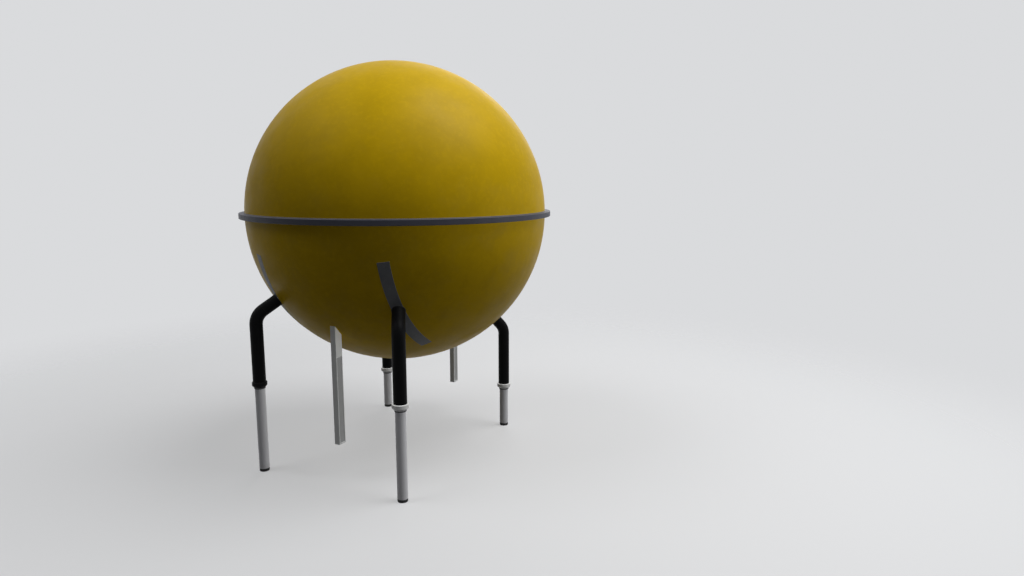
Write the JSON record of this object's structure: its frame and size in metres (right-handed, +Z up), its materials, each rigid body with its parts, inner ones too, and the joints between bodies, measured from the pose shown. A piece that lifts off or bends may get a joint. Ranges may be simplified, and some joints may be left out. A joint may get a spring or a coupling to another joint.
{
  "type": "spherical unmanned aerial vehicle",
  "caption": "Spherical unmanned aircraft with an equator ring, bent telescopic landing legs in curved rails and retractable blade masts under the hull.",
  "frame": {"origin": "on the floor under the feet, on the sphere's vertical axis", "axes": "+Z up, -Y towards the front (the end with the high-set legs), +X towards the craft's own left"},
  "size_m": [1.2438, 1.244, 1.5797],
  "materials": {
    "hull_paint": "satin golden yellow paint over a composite shell",
    "grey_metal": "satin blue-grey paint",
    "black_tube": "satin black",
    "black_gland": "satin black",
    "white_gland": "satin white",
    "wiper_ring": "dark grey seal rubber",
    "leg_rod": "satin light grey",
    "foot_rubber": "matte black rubber",
    "mast_body": "satin light grey",
    "mast_panel": "matte grey",
    "guide_metal": "plain",
    "power_pack": "plain"
  },
  "bodies": {
    "airframe": {"upper_dome": "hull_paint", "lower_dome": "hull_paint", "equator_ring": "grey_metal", "rail_front_right": "grey_metal", "rail_front_left": "grey_metal", "rail_rear_right": "grey_metal", "rail_rear_left": "grey_metal", "leg_root_front_right": "black_tube", "leg_root_front_left": "black_tube", "leg_root_rear_right": "black_tube", "leg_root_rear_left": "black_tube", "leg_tube_front_right": "black_tube", "leg_tube_front_left": "black_tube", "leg_tube_rear_right": "black_tube", "leg_tube_rear_left": "black_tube", "gland_front_right": "black_gland", "gland_front_left": "white_gland", "gland_rear_right": "white_gland", "gland_rear_left": "white_gland", "wiper_front_right": "wiper_ring", "wiper_front_left": "wiper_ring", "wiper_rear_right": "wiper_ring", "wiper_rear_left": "wiper_ring", "leg_rod_front_right": "leg_rod", "leg_rod_front_left": "leg_rod", "leg_rod_rear_right": "leg_rod", "leg_rod_rear_left": "leg_rod", "foot_front_right": "foot_rubber", "foot_front_left": "foot_rubber", "foot_rear_right": "foot_rubber", "foot_rear_left": "foot_rubber", "mast_guide_front": "guide_metal", "mast_guide_rear": "guide_metal", "power_pack": "power_pack"},
    "front_mast": {"mast_front": "mast_body", "mast_panel_front_right": "mast_panel", "mast_panel_front_left": "mast_panel"},
    "rear_mast": {"mast_rear": "mast_body", "mast_panel_rear_right": "mast_panel", "mast_panel_rear_left": "mast_panel"}
  },
  "joints": [
    {"name": "front_mast_lift", "type": "slide", "parent": "airframe", "child": "front_mast", "axis": [0, 0, 1], "range_m": [0, 0.42]},
    {"name": "rear_mast_lift", "type": "slide", "parent": "airframe", "child": "rear_mast", "axis": [0, 0, 1], "range_m": [0, 0.42]}
  ]
}
